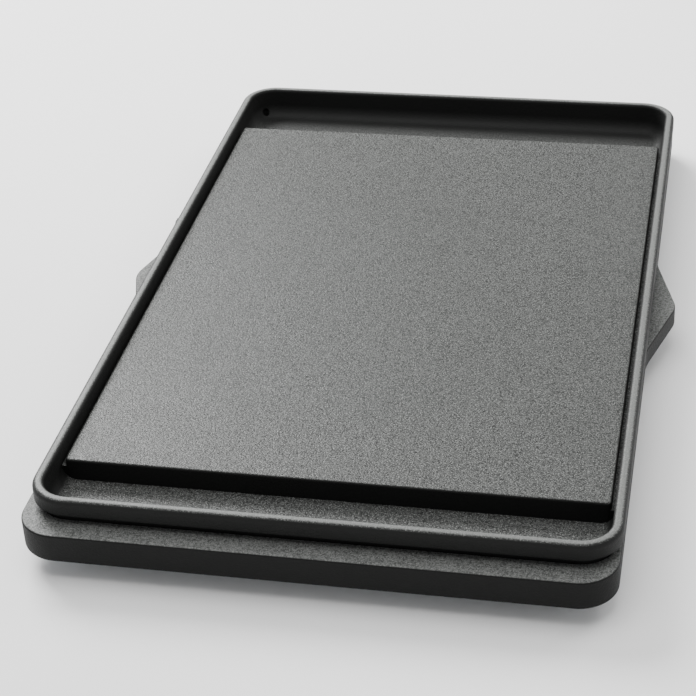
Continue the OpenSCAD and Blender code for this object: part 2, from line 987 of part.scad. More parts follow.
// Upright block with the drawer's plan, inset from the drawer's outside and from the base wall
module drawer_block(inset, h) {
  cx = drawer_x0 + drawer_w / 2;
  cy = drawer_y1 - drawer_l / 2;
  wall = 2 * (front_t + inset);
  linear_extrude(h)
  intersection() {
    translate([cx, cy])
    rounded_rect(drawer_w - 2 * inset, drawer_l - 2 * inset, 5 - inset);
    translate([base_x, 0])
    rounded_rect(base_w - wall, base_l - wall, base_r - wall / 2);
  }
}

module grease_drawer() {
  color("#7d8184")
  up(drawer_z0)
  difference() {
    drawer_block(0.2, drawer_z1 - drawer_z0);
    up(drawer_t)
    drawer_block(0.2 + drawer_t, drawer_z1);
  }
}

// The front wraps round the base's rear left corner, and has a finger notch in its lower edge
module drawer_front() {
  color("#222322")
  up(2)
  difference() {
    linear_extrude(drawer_window_z - 2.3)
    intersection() {
      translate([base_x, 0])
      difference() {
        rounded_rect(base_w, base_l, base_r);
        rounded_rect(base_w - 2 * front_t, base_l - 2 * front_t, base_r - front_t);
      }
      translate([-base_w, front_y0])
      square([base_w + front_x1, base_l]);
    }
    translate([drawer_x0 + drawer_w / 2, base_l / 2 + 7, -1])
    cylinder(r = 9, h = 6);
  }
}

module rail_section(side) {
  t = 0.9;
  x = side < 0 ? drawer_x0 - 0.5 : drawer_x0 + drawer_w + 0.5;
  y0 = drawer_y1 - drawer_l - 0.5;
  reach = 3.4;
  translate([side < 0 ? x - t : x, y0, 1.6])
  cube([t, drawer_l, cover_z - 1.6]);
  translate([side < 0 ? x - t : x - reach, y0, 1.6])
  cube([reach + t, drawer_l, 1]);
  translate([side < 0 ? x - reach - t : x, y0, cover_z - 0.8])
  cube([reach + t, drawer_l, 0.8]);
}

module drawer_rails() {
  wall = 2 * (front_t + 0.4);
  color("#a9adaf")
  intersection() {
    union() {
      rail_section(-1);
      rail_section(1);
    }
    translate([base_x, 0, 0])
    slab(base_w - wall, base_l - wall, base_r - wall / 2, total_h);
  }
}

cooking_plate();
base_housing();
bottom_cover();
reflector_pan();
pan_standoffs();
heating_element();
element_terminals();
element_bushes();
element_brackets();
bracket_screws();
support_pads();
control_box();
box_screws();
heat_shield();
thermostat_body();
thermostat_nut();
thermostat_shaft();
control_knob();
knob_pointer();
dial_ring();
capillary_tube();
sensor_holder();
sensor_button();
sensor_spring();
thermal_fuse();
fuse_clip();
terminal_block();
terminal_screws();
power_inlet();
inlet_pins();
inlet_screws();
live_wires();
neutral_wires();
earth_wire();
earth_screw();
pilot_lamp();
lamp_lens();
feet();
foot_screws();
foot_nuts();
cover_screws();
grease_drawer();
drawer_front();
drawer_rails();
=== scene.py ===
"""Looks for the low electric griddle: refined castings, coated and metal materials, studio."""

import json
import math

import bmesh
import bpy
from mathutils import Matrix, Vector


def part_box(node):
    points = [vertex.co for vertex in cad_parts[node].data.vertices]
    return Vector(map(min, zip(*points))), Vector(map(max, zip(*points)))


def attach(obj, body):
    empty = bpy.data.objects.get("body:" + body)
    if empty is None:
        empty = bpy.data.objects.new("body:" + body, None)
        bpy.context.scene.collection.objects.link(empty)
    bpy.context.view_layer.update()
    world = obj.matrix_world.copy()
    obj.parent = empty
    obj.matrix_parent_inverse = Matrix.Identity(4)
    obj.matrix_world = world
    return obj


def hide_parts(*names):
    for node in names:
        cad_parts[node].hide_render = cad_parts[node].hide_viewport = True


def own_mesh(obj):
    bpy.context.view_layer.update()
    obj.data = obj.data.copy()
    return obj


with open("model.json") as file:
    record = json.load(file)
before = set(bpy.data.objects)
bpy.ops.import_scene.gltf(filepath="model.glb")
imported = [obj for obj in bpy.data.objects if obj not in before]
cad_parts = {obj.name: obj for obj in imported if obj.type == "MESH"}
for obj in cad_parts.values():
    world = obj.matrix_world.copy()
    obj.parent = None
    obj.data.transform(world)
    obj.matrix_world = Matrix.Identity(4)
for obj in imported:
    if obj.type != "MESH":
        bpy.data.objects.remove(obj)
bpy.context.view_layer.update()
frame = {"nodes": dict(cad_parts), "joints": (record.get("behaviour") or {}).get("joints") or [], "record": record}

MM = 0.001
nodes = frame["nodes"]
plate_lo, plate_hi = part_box("cooking_plate")
base_lo, base_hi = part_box("base_housing")

# Sizes that the frame gives, in metres
PLATE_W = plate_hi.x - plate_lo.x
PLATE_L = plate_hi.y - plate_lo.y
RIM_TOP = plate_hi.z
LEDGE_Z = base_hi.z
BASE_Z = base_lo.z
BASE_L = base_hi.y - base_lo.y
EAR_TIP = base_hi.x

# Shape of the plate. Its rim is rounder than in the CAD, and the edge of its table tighter.
PLATE_R = 22.2 * MM
RIM_W = 6.1 * MM
TABLE_Z = RIM_TOP - 7 * MM
CHANNEL_Z = TABLE_Z - 4.4 * MM
SKIRT_Z = RIM_TOP - 9.4 * MM
TROUGH_Z = RIM_TOP - 19.7 * MM
TROUGH_UNDER_Z = TROUGH_Z - 4 * MM
PLATE_UNDER_Z = LEDGE_Z + 0.8 * MM
BODY_INSET = 4.2 * MM
COVE_R = 8 * MM
TABLE_FRONT = -206.9 * MM
TABLE_REAR = 197.2 * MM
TABLE_HALF_W = PLATE_W / 2 - RIM_W - 2.1 * MM
TABLE_EDGE = 1.4 * MM
TABLE_R = 2 * MM
RIM_EDGE_OUT = 3 * MM
RIM_EDGE_IN = 2.2 * MM
SKIRT_FOOT = 2.5 * MM
SKIRT_LIP = 0.7 * MM
CHANNEL_EDGE = 0.3 * MM
CHANNEL_SILL = 0.4 * MM
STEP_WALL = 5 * MM
DRAIN_R = 2.3 * MM
DRAIN_X = -PLATE_W / 2 + RIM_W + 6.7 * MM
DRAIN_Y = PLATE_L / 2 - RIM_W - 4.6 * MM
MOUTH_Z = TROUGH_Z + 3.6 * MM
MOUTH_R = 2.7 * MM
SPOUT_WALL = 1.1 * MM
SPOUT_DROP = 0.6 * MM
SPOUT_ROOT = 2 * MM

# Shape of the base
BASE_W = 309.4 * MM
BASE_X = -2 * MM
BASE_R = 21 * MM
WALL_T = 2.7 * MM
CAVITY_W = BASE_W - 2 * WALL_T
CAVITY_L = BASE_L - 2 * WALL_T
PLATE_GAP = 0.4 * MM
FLANGE_Z = LEDGE_Z - 2.5 * MM
EAR_R = 22 * MM
EAR_SLOPE = math.radians(16)
EAR_FILLET = 60 * MM
EAR_T = 12 * MM
SHELF_W = 14.5 * MM
SHELF_L = 378 * MM
SHELF_TOP = LEDGE_Z - 0.7 * MM
SHELF_UNDER = LEDGE_Z - 2.7 * MM
LEDGE_EDGE = 1.1 * MM
LOWER_EDGE = 1.6 * MM
WELL_EDGE = 0.5 * MM
SKIRT_SEAM = 0.02 * MM
SKIRT_TOP = LEDGE_Z - 3 * MM
COVER_TOP = BASE_Z + 1.4 * MM
BOSS_INSET = 7.6 * MM
BOSS_R = 3.6 * MM
BOSS_HOLE_R = 1.3 * MM
BOSS_TOP = LEDGE_Z - 1.7 * MM
BOSS_HOLE_DEPTH = 8 * MM
BOSSES_FRONT = (-110, 0, 110)
BOSSES_REAR = (-8, 110)
BOSSES_RIGHT = (-150, 0, 150)
BOSSES_LEFT = (-150, 0)
BOX_GAP = 0.2 * MM
DRAWER_GAP = 0.4 * MM
DRAWER_HEADROOM = 0.3 * MM

# The black coating: how fine its stipple is, its shine and its tint
GRAIN = 900
FLECK_GRAIN = 1.7 * GRAIN
COATING_SPECULAR = 0.12
COATING_TINT = (0.97, 1.0, 0.965)
STIPPLE_DEPTH = 0.3 * MM
PALE = 0.2
WALL_DULLNESS = 0.22
PATCH_SCALE = 22
PATCH_SHEEN = 0.035
STIPPLE_RANGE = (0.36, 0.64)
FLECK_RANGE = (0.54, 0.78)
STIPPLE_SHEEN = (0.05, -0.03)
PLAIN_SHEEN = (-0.04, 0.05)
FACING_UP = (0.7, 0.98)

# Painted light: a painted highlight along the top of the rim, and painted shade in the rear trough behind the
# table and below its top
HIGHLIGHT_FROM = RIM_TOP - 0.35 * MM
HIGHLIGHT_FULL = RIM_TOP - 0.05 * MM
HIGHLIGHT_SHARE = 0.55
REAR_SHADE_FULL = TABLE_REAR + 38 * MM
REAR_SHADE_FROM = TABLE_REAR - 2 * MM
REAR_SHADE_LOW = TABLE_Z - 8 * MM
REAR_SHADE_HIGH = TABLE_Z - 5 * MM

POST_SIDES = 40
SMOOTH_BELOW = math.radians(32)


# ---------------------------------------------------------------- outlines and swept solids

def fillet_outline(corners, segments=14):
    """Closed outline, anticlockwise, of (x, y, radius) corners: a list of (point, outward normal)."""
    outline = []
    count = len(corners)
    for i, (x, y, radius) in enumerate(corners):
        here = Vector((x, y))
        back = (Vector(corners[i - 1][:2]) - here).normalized()
        ahead = (Vector(corners[(i + 1) % count][:2]) - here).normalized()
        half = math.acos(max(-1, min(1, back.dot(ahead)))) / 2
        turn = back.cross(ahead)
        convex = turn < 0
        centre = here + (back + ahead).normalized() * (radius / math.sin(half))
        sign = 1 if convex else -1
        start = centre_angle(centre, here + back * (radius / math.tan(half)))
        end = centre_angle(centre, here + ahead * (radius / math.tan(half)))
        sweep = (end - start + math.pi) % (2 * math.pi) - math.pi
        for k in range(segments + 1):
            a = start + sweep * k / segments
            direction = Vector((math.cos(a), math.sin(a)))
            outline.append((centre + direction * radius, direction * sign))
    return outline


def centre_angle(centre, point):
    d = point - centre
    return math.atan2(d.y, d.x)


def rounded_rect(w, l, r, segments=14):
    return fillet_outline([(w / 2, -l / 2, r), (w / 2, l / 2, r), (-w / 2, l / 2, r), (-w / 2, -l / 2, r)],
                          segments)


def shifted(outline, x, y=0):
    return [(p + Vector((x, y)), n) for p, n in outline]


def arc(cd, cz, radius, a0, a1, steps):
    """Points (inset, z) on an arc, with angles in degrees in the (inset, z) plane."""
    points = []
    for k in range(steps + 1):
        a = math.radians(a0 + (a1 - a0) * k / steps)
        points.append((cd + radius * math.cos(a), cz + radius * math.sin(a)))
    return points


def sweep_solid(name, outline, profile):
    """Solid between two caps: the profile is (inset, z) from the lower cap to the upper one."""
    bm = bmesh.new()
    rings = []
    for inset, z in profile:
        rings.append([bm.verts.new((p.x - n.x * inset, p.y - n.y * inset, z)) for p, n in outline])
    count = len(outline)
    for low, high in zip(rings, rings[1:]):
        for i in range(count):
            j = (i + 1) % count
            bm.faces.new((low[i], low[j], high[j], high[i]))
    bm.faces.new(list(reversed(rings[0])))
    bm.faces.new(rings[-1])
    bmesh.ops.recalc_face_normals(bm, faces=bm.faces)
    return make_object(name, bm)


def make_object(name, bm):
    mesh = bpy.data.meshes.new(name)
    bm.to_mesh(mesh)
    bm.free()
    obj = bpy.data.objects.new(name, mesh)
    bpy.context.scene.collection.objects.link(obj)
    return obj


def block(name, lo, hi, bevel=0.0, keep=None):
    """Box from lo to hi. With a bevel, the edges between the corners that keep(a, b) picks are rounded."""
    bm = bmesh.new()
    bmesh.ops.create_cube(bm, size=1)
    for v in bm.verts:
        v.co = Vector([lo[k] if v.co[k] < 0 else hi[k] for k in range(3)])
    if bevel:
        round_edges(bm, [e for e in bm.edges if keep(e.verts[0].co, e.verts[1].co)], bevel)
    return make_object(name, bm)


def round_edges(bm, edges, width):
    """Rounds the edges by width, and returns the vertices that this makes."""
    return bmesh.ops.bevel(bm, geom=edges, offset=width, offset_type="OFFSET", segments=2, profile=0.5,
                           affect="EDGES")["verts"]


def ball(name, centre, radius):
    bm = bmesh.new()
    bmesh.ops.create_uvsphere(bm, u_segments=32, v_segments=20, radius=radius,
                              matrix=Matrix.Translation(centre))
    return make_object(name, bm)


def post(name, x, y, z0, z1, radius):
    bm = bmesh.new()
    bmesh.ops.create_cone(bm, cap_ends=True, segments=POST_SIDES, radius1=radius, radius2=radius,
                          depth=z1 - z0, matrix=Matrix.Translation((x, y, (z0 + z1) / 2)))
    return make_object(name, bm)


def combine(target, other, operation):
    """Boolean of target with other, applied to target's mesh. The other object goes."""
    mod = target.modifiers.new("boolean", "BOOLEAN")
    mod.operation = operation
    mod.solver = "EXACT"
    mod.object = other
    apply_modifiers(target)
    bpy.data.objects.remove(other)


def apply_modifiers(obj):
    bpy.context.view_layer.update()
    evaluated = obj.evaluated_get(bpy.context.evaluated_depsgraph_get())
    mesh = bpy.data.meshes.new_from_object(evaluated)
    old = obj.data
    obj.modifiers.clear()
    obj.data = mesh
    mesh.name = obj.name
    bpy.data.meshes.remove(old)


def smooth(obj):
    """Smooth shading with sharp edges kept, and flat faces left flat."""
    mesh = obj.data
    bm = bmesh.new()
    bm.from_mesh(mesh)
    bmesh.ops.remove_doubles(bm, verts=bm.verts, dist=1e-6)
    bmesh.ops.dissolve_degenerate(bm, edges=bm.edges, dist=1e-6)
    for face in bm.faces:
        face.smooth = True
    for edge in bm.edges:
        edge.smooth = len(edge.link_faces) == 2 and edge.calc_face_angle(0) < SMOOTH_BELOW
    bm.to_mesh(mesh)
    bm.free()
    weighted = obj.modifiers.new("weighted", "WEIGHTED_NORMAL")
    weighted.keep_sharp = True
    weighted.weight = 80


# ---------------------------------------------------------------- materials

def node_tree(name):
    mat = bpy.data.materials.new(name)
    mat.use_nodes = True
    tree = mat.node_tree
    shader = tree.nodes["Principled BSDF"]
    coords = tree.nodes.new("ShaderNodeTexCoord")
    return mat, tree, shader, coords.outputs["Object"]


def noise(tree, coords, scale, detail=2.0, roughness=0.5):
    tex = tree.nodes.new("ShaderNodeTexNoise")
    tex.inputs["Scale"].default_value = scale
    tex.inputs["Detail"].default_value = detail
    tex.inputs["Roughness"].default_value = roughness
    tree.links.new(coords, tex.inputs["Vector"])
    return tex.outputs["Fac"]


def ramp(tree, value, stops):
    """Colour ramp with (position, colour) stops."""
    node = tree.nodes.new("ShaderNodeValToRGB")
    elements = node.color_ramp.elements
    for k, (position, colour) in enumerate(stops):
        element = elements[k] if k < 2 else elements.new(position)
        element.position = position
        element.color = (*colour, 1)
    tree.links.new(value, node.inputs["Fac"])
    return node.outputs["Color"]


def remap(tree, value, low, high, from_low=0.3, from_high=0.7):
    node = tree.nodes.new("ShaderNodeMapRange")
    node.inputs["From Min"].default_value = from_low
    node.inputs["From Max"].default_value = from_high
    node.inputs["To Min"].default_value = low
    node.inputs["To Max"].default_value = high
    tree.links.new(value, node.inputs["Value"])
    return node.outputs["Result"]


def bump(tree, shader, height, strength, distance):
    node = tree.nodes.new("ShaderNodeBump")
    node.inputs["Strength"].default_value = strength
    node.inputs["Distance"].default_value = distance
    tree.links.new(height, node.inputs["Height"])
    tree.links.new(node.outputs["Normal"], shader.inputs["Normal"])


def grey(value, tint=(1, 1, 1)):
    return tuple(value * t for t in tint)


def upward(tree):
    """1 on faces that look up, 0 on walls, with a soft change between them."""
    coords = tree.nodes.new("ShaderNodeTexCoord")
    split = tree.nodes.new("ShaderNodeSeparateXYZ")
    tree.links.new(coords.outputs["Normal"], split.inputs["Vector"])
    return remap(tree, split.outputs["Z"], 0, 1, *FACING_UP)


def blend(tree, factor, low, high):
    """Mix of two colours, each an output or three numbers."""
    node = tree.nodes.new("ShaderNodeMix")
    node.data_type = "RGBA"
    tree.links.new(factor, node.inputs["Factor"])
    for name, value in (("A", low), ("B", high)):
        socket = next(k for k in node.inputs if k.name == name and k.type == "RGBA")
        if isinstance(value, tuple):
            socket.default_value = (*value, 1)
        else:
            tree.links.new(value, socket)
    return next(k for k in node.outputs if k.type == "RGBA")


def axis(tree, coords, name, low, high):
    """0 at low and 1 at high along one axis of the piece, and even beyond them. Low may be the larger."""
    split = tree.nodes.new("ShaderNodeSeparateXYZ")
    tree.links.new(coords, split.inputs["Vector"])
    return remap(tree, split.outputs[name], 0, 1, low, high)


def joined(tree, operation, first, second):
    """One Math node's result for two outputs."""
    node = tree.nodes.new("ShaderNodeMath")
    node.operation = operation
    for socket, value in zip(node.inputs, (first, second)):
        tree.links.new(value, socket)
    return node.outputs["Value"]


def coating(name, wall, low, high, rough, painted_highlight_and_shade=False):
    """Sprayed black coating: the darker wall grey on walls as painted shade, and low to high in its stipple where
    it faces up, lighter as painted light.

    With painted highlight and shade, the top of the rim is painted paler as a painted highlight, and the rear
    trough takes the walls' darker grey as painted shade, with their duller sheen.
    """
    mat, tree, shader, coords = node_tree(name)
    grains = noise(tree, coords, GRAIN, detail=2.5, roughness=0.62)
    flecks = remap(tree, noise(tree, coords, FLECK_GRAIN, detail=0.0), 0, 1, *FLECK_RANGE)
    pale = grey(PALE, COATING_TINT)
    stops = [(at, grey(value, COATING_TINT)) for at, value in zip(STIPPLE_RANGE, (low, high))]
    colour = blend(tree, flecks, ramp(tree, grains, stops), pale)
    # faces that look up get the lighter stipple and walls the darker grey, as painted light and shade; the sheen
    # follows the same mask
    up = upward(tree)
    # painted highlight on the rim top and painted shade in the rear trough
    if painted_highlight_and_shade:
        # painted highlight: the top of the rim is painted paler, up to its full share at the very top
        rim_highlight = remap(tree, axis(tree, coords, "Z", HIGHLIGHT_FROM, HIGHLIGHT_FULL), 0, HIGHLIGHT_SHARE, 0, 1)
        colour = blend(tree, rim_highlight, colour, pale)
        # painted shade: the rear trough behind the table and below its top counts as wall, so it takes the walls'
        # darker grey and duller sheen
        front = axis(tree, coords, "Y", REAR_SHADE_FULL, REAR_SHADE_FROM)
        above = axis(tree, coords, "Z", REAR_SHADE_LOW, REAR_SHADE_HIGH)
        up = joined(tree, "MULTIPLY", up, joined(tree, "MAXIMUM", front, above))
    dull = rough + WALL_DULLNESS
    patches = noise(tree, coords, PATCH_SCALE, detail=3.0, roughness=0.6)
    patches = remap(tree, patches, PATCH_SHEEN, -PATCH_SHEEN)
    sheen = joined(tree, "ADD", remap(tree, grains, *(rough + k for k in STIPPLE_SHEEN)), patches)
    # painted shade: walls take the darker wall grey, and faces that look up the lighter stipple as painted light
    tree.links.new(blend(tree, up, grey(wall, COATING_TINT), colour), shader.inputs["Base Color"])
    tree.links.new(blend(tree, up, (dull, dull, dull), sheen), shader.inputs["Roughness"])
    shader.inputs["Specular IOR Level"].default_value = COATING_SPECULAR
    bump(tree, shader, grains, 1.0, STIPPLE_DEPTH)
    return mat


def plain(name, colour, rough, metallic, grain, contrast, depth=0.0, specular=0.5):
    """Even material with a slight change of tone and sheen from place to place."""
    mat, tree, shader, coords = node_tree(name)
    tone = noise(tree, coords, grain)
    stops = [(0.3, tuple(c * (1 - contrast) for c in colour)),
             (0.7, tuple(c * (1 + contrast) for c in colour))]
    tree.links.new(ramp(tree, tone, stops), shader.inputs["Base Color"])
    sheen = remap(tree, noise(tree, coords, grain / 6), *(rough + k for k in PLAIN_SHEEN))
    tree.links.new(sheen, shader.inputs["Roughness"])
    shader.inputs["Metallic"].default_value = metallic
    shader.inputs["Specular IOR Level"].default_value = specular
    if depth:
        bump(tree, shader, tone, 0.6, depth)
    return mat


def striped(name, first, second, rough):
    """Wire sleeve with stripes that wind round it."""
    mat, tree, shader, coords = node_tree(name)
    wave = tree.nodes.new("ShaderNodeTexWave")
    wave.inputs["Scale"].default_value = 110
    wave.inputs["Distortion"].default_value = 1.5
    tree.links.new(coords, wave.inputs["Vector"])
    colour = ramp(tree, wave.outputs["Fac"], [(0.45, first), (0.55, second)])
    tree.links.new(colour, shader.inputs["Base Color"])
    shader.inputs["Roughness"].default_value = rough
    return mat


# Even materials: colour, roughness, metallic, grain and contrast, and for some also depth and specular level
PLAIN = {
    "galvanised_steel": ((0.46, 0.48, 0.5), 0.46, 1.0, 90, 0.14),
    "bright_steel": ((0.62, 0.62, 0.61), 0.34, 1.0, 500, 0.06),
    "element_sheath": ((0.13, 0.115, 0.105), 0.48, 1.0, 120, 0.3),
    "zinc_screw": ((0.6, 0.61, 0.62), 0.3, 1.0, 600, 0.08),
    "brass": ((0.72, 0.53, 0.24), 0.3, 1.0, 500, 0.08),
    "copper": ((0.72, 0.34, 0.2), 0.32, 1.0, 400, 0.12),
    "ceramic": ((0.74, 0.71, 0.63), 0.55, 0.0, 700, 0.08, 0.03 * MM),
    "dark_plastic": ((0.018, 0.018, 0.019), 0.48, 0.0, 1400, 0.15, 0.04 * MM, 0.2),
    "knob_plastic": ((0.014, 0.014, 0.015), 0.42, 0.0, 1600, 0.12, 0.03 * MM, 0.25),
    "white_plastic": ((0.72, 0.72, 0.7), 0.4, 0.0, 600, 0.03),
    "lens_red": ((0.17, 0.004, 0.004), 0.12, 0.0, 300, 0.1),
    "lamp_glass": ((0.75, 0.4, 0.16), 0.14, 0.0, 300, 0.1),
    "pad_rubber": ((0.05, 0.035, 0.028), 0.8, 0.0, 900, 0.15, 0.05 * MM, 0.2),
    "foot_rubber": ((0.02, 0.02, 0.02), 0.78, 0.0, 1000, 0.15, 0.05 * MM, 0.2),
    "wire_brown": ((0.13, 0.055, 0.02), 0.5, 0.0, 500, 0.08),
    "wire_blue": ((0.03, 0.11, 0.36), 0.5, 0.0, 500, 0.08),
}

# both coatings paint walls darker than faces that look up: painted shade and painted light
materials = {
    "nonstick_coating": coating("nonstick_coating", 0.014, 0.014, 0.075, 0.34, painted_highlight_and_shade=True),
    "coated_housing": coating("coated_housing", 0.01, 0.045, 0.14, 0.37),
}
for slot, values in PLAIN.items():
    materials[slot] = plain(slot, *values)
materials["wire_green"] = striped("wire_green", (0.06, 0.28, 0.05), (0.6, 0.5, 0.05), 0.5)


# ---------------------------------------------------------------- cooking plate

def finish_piece(obj, body, node, slot):
    """Shades the piece, gives it its slot's material, and lets it ride its body in place of the CAD node."""
    smooth(obj)
    obj.data.materials.append(materials[slot])
    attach(obj, body)
    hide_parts(node)


def build_plate():
    """Cast tray with its rim, the raised table, the side channels and the drain, hollow under the table."""
    outline = rounded_rect(PLATE_W, PLATE_L, PLATE_R)
    profile = arc(BODY_INSET + SKIRT_FOOT, TROUGH_UNDER_Z + SKIRT_FOOT, SKIRT_FOOT, 270, 180, 4)
    profile += [(BODY_INSET, SKIRT_Z)]
    profile += arc(SKIRT_LIP, SKIRT_Z + SKIRT_LIP, SKIRT_LIP, 270, 180, 4)
    profile += arc(RIM_EDGE_OUT, RIM_TOP - RIM_EDGE_OUT, RIM_EDGE_OUT, 180, 90, 8)
    profile += arc(RIM_W - RIM_EDGE_IN, RIM_TOP - RIM_EDGE_IN, RIM_EDGE_IN, 90, 0, 7)
    profile += arc(RIM_W + COVE_R, TROUGH_Z + COVE_R, COVE_R, 180, 270, 8)
    plate = sweep_solid("cooking_plate_body", outline, profile)

    inside = TROUGH_UNDER_Z + MM
    outline = rounded_rect(2 * TABLE_HALF_W, TABLE_REAR - TABLE_FRONT, TABLE_R, 4)
    profile = [(0, inside)] + arc(TABLE_EDGE, TABLE_Z - TABLE_EDGE, TABLE_EDGE, 180, 90, 6)
    table = sweep_solid("table", shifted(outline, 0, (TABLE_FRONT + TABLE_REAR) / 2), profile)
    combine(plate, table, "UNION")
    half_w = PLATE_W / 2 - RIM_W / 2
    channels = block("channels", (-half_w, TABLE_FRONT + CHANNEL_SILL, inside),
                     (half_w, TABLE_REAR - CHANNEL_SILL, CHANNEL_Z), CHANNEL_EDGE,
                     lambda a, b: min(a.z, b.z) > CHANNEL_Z - MM)
    combine(plate, channels, "UNION")
    spout = post("spout", DRAIN_X, DRAIN_Y, TROUGH_UNDER_Z - SPOUT_DROP, TROUGH_UNDER_Z + SPOUT_ROOT,
                 DRAIN_R + SPOUT_WALL)
    combine(plate, spout, "UNION")
    under = block("under", (-PLATE_W, TABLE_FRONT + STEP_WALL, 0),
                  (PLATE_W, TABLE_REAR - STEP_WALL, PLATE_UNDER_Z))
    combine(plate, under, "DIFFERENCE")
    combine(plate, post("bore", DRAIN_X, DRAIN_Y, 0, MOUTH_Z, DRAIN_R), "DIFFERENCE")
    combine(plate, ball("mouth", (DRAIN_X, DRAIN_Y, MOUTH_Z), MOUTH_R), "DIFFERENCE")
    finish_piece(plate, "plate", "cooking_plate", "nonstick_coating")


# ---------------------------------------------------------------- base housing

def base_outline():
    """Plan outline of the base with an ear in the middle of each long side."""
    right, left, l = BASE_W / 2 + BASE_X, BASE_W / 2 - BASE_X, BASE_L / 2
    tip = EAR_TIP - EAR_R + EAR_R / math.cos(EAR_SLOPE)
    right_root = (tip - right) / math.tan(EAR_SLOPE)
    left_root = (tip - left) / math.tan(EAR_SLOPE)
    return fillet_outline([
        (right, -l, BASE_R), (right, -right_root, EAR_FILLET), (tip, 0, EAR_R),
        (right, right_root, EAR_FILLET), (right, l, BASE_R),
        (-left, l, BASE_R), (-left, left_root, EAR_FILLET), (-tip, 0, EAR_R),
        (-left, -left_root, EAR_FILLET), (-left, -l, BASE_R)])


def boss_places():
    """Where the cover's screws go into the base. The BOSSES_ numbers are millimetres along each side."""
    end = BASE_L / 2 - BOSS_INSET
    right = BASE_X + BASE_W / 2 - BOSS_INSET
    left = BASE_X - BASE_W / 2 + BOSS_INSET
    places = [(x * MM, -end) for x in BOSSES_FRONT] + [(x * MM, end) for x in BOSSES_REAR]
    return places + [(right, y * MM) for y in BOSSES_RIGHT] + [(left, y * MM) for y in BOSSES_LEFT]


def build_housing():
    """Shell with its ledge and ears, open below and under the plate, with shelves, bosses and windows."""
    low, top = LOWER_EDGE, LEDGE_EDGE
    ear_z = LEDGE_Z - EAR_T
    profile = arc(low, ear_z + low, low, 270, 180, 4) + arc(top, LEDGE_Z - top, top, 180, 90, 5)
    housing = sweep_solid("base_housing_body", base_outline(), profile)
    profile = arc(low + SKIRT_SEAM, BASE_Z + low, low, 270, 180, 4) + [(SKIRT_SEAM, SKIRT_TOP)]
    skirt = sweep_solid("skirt", shifted(rounded_rect(BASE_W, BASE_L, BASE_R), BASE_X), profile)
    combine(housing, skirt, "UNION")
    gap = BODY_INSET - PLATE_GAP
    opening = rounded_rect(PLATE_W - 2 * gap, PLATE_L - 2 * gap, PLATE_R - gap)
    profile = [(0, 0), (0, LEDGE_Z - WELL_EDGE), (-WELL_EDGE, LEDGE_Z), (-WELL_EDGE, RIM_TOP)]
    well = sweep_solid("well", opening, profile)
    combine(housing, well, "DIFFERENCE")
    cavity = shifted(rounded_rect(CAVITY_W, CAVITY_L, BASE_R - WALL_T), BASE_X)
    combine(housing, sweep_solid("cavity", cavity, [(0, 0), (0, FLANGE_Z)]), "DIFFERENCE")
    for side in (-1, 1):
        xs = sorted(BASE_X + side * (CAVITY_W / 2 + k) for k in (-SHELF_W, MM))
        shelf = block("shelf", (xs[0], -SHELF_L / 2, SHELF_UNDER), (xs[1], SHELF_L / 2, SHELF_TOP))
        combine(housing, shelf, "UNION")
    for x, y in boss_places():
        combine(housing, post("boss", x, y, COVER_TOP, BOSS_TOP, BOSS_R), "UNION")
        combine(housing, post("hole", x, y, 0, COVER_TOP + BOSS_HOLE_DEPTH, BOSS_HOLE_R), "DIFFERENCE")
    box_lo, box_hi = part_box("control_box")
    window = block("window", (-BASE_W, box_lo.y - BOX_GAP, 0),
                   (BASE_X - BASE_W / 2 + WALL_T + MM, box_hi.y + BOX_GAP, box_hi.z + BOX_GAP / 2))
    combine(housing, window, "DIFFERENCE")
    front_lo, front_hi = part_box("drawer_front")
    window = block("window", (-BASE_W, front_lo.y - DRAWER_GAP, 0),
                   (front_hi.x + DRAWER_GAP, BASE_L, front_hi.z + DRAWER_HEADROOM))
    combine(housing, window, "DIFFERENCE")
    finish_piece(housing, "base", "base_housing", "coated_housing")


# ---------------------------------------------------------------- sensor spring

def build_sensor_spring():
    """Compression coil under the sensor button: its end turns lie flat."""
    lo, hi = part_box("sensor_spring")
    button_lo, button_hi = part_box("sensor_button")
    centre = (button_lo + button_hi) / 2
    wire, radius = 0.25 * MM, 2.8 * MM
    turns, flat = 3.5, 0.5
    sides, per_turn = 10, 36
    steps = int(turns * per_turn)
    bm = bmesh.new()
    rings = []
    for i in range(steps + 1):
        turn = i / per_turn
        rise = min(1, max(0, (turn - flat) / (turns - 2 * flat)))
        z = lo.z + wire + (hi.z - lo.z - 2 * wire) * rise
        a = 2 * math.pi * turn
        ring = []
        for k in range(sides):
            b = 2 * math.pi * k / sides
            r = radius + wire * math.cos(b)
            ring.append(bm.verts.new((centre.x + r * math.cos(a), centre.y + r * math.sin(a),
                                      z + wire * math.sin(b))))
        rings.append(ring)
    for first, second in zip(rings, rings[1:]):
        for k in range(sides):
            bm.faces.new((first[k], first[(k + 1) % sides], second[(k + 1) % sides], second[k]))
    bm.faces.new(rings[0])
    bm.faces.new(rings[-1])
    bmesh.ops.recalc_face_normals(bm, faces=bm.faces)
    coil = make_object("sensor_coil", bm)
    finish_piece(coil, "base", "sensor_spring", "zinc_screw")
    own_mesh(coil)


# ---------------------------------------------------------------- dial marks

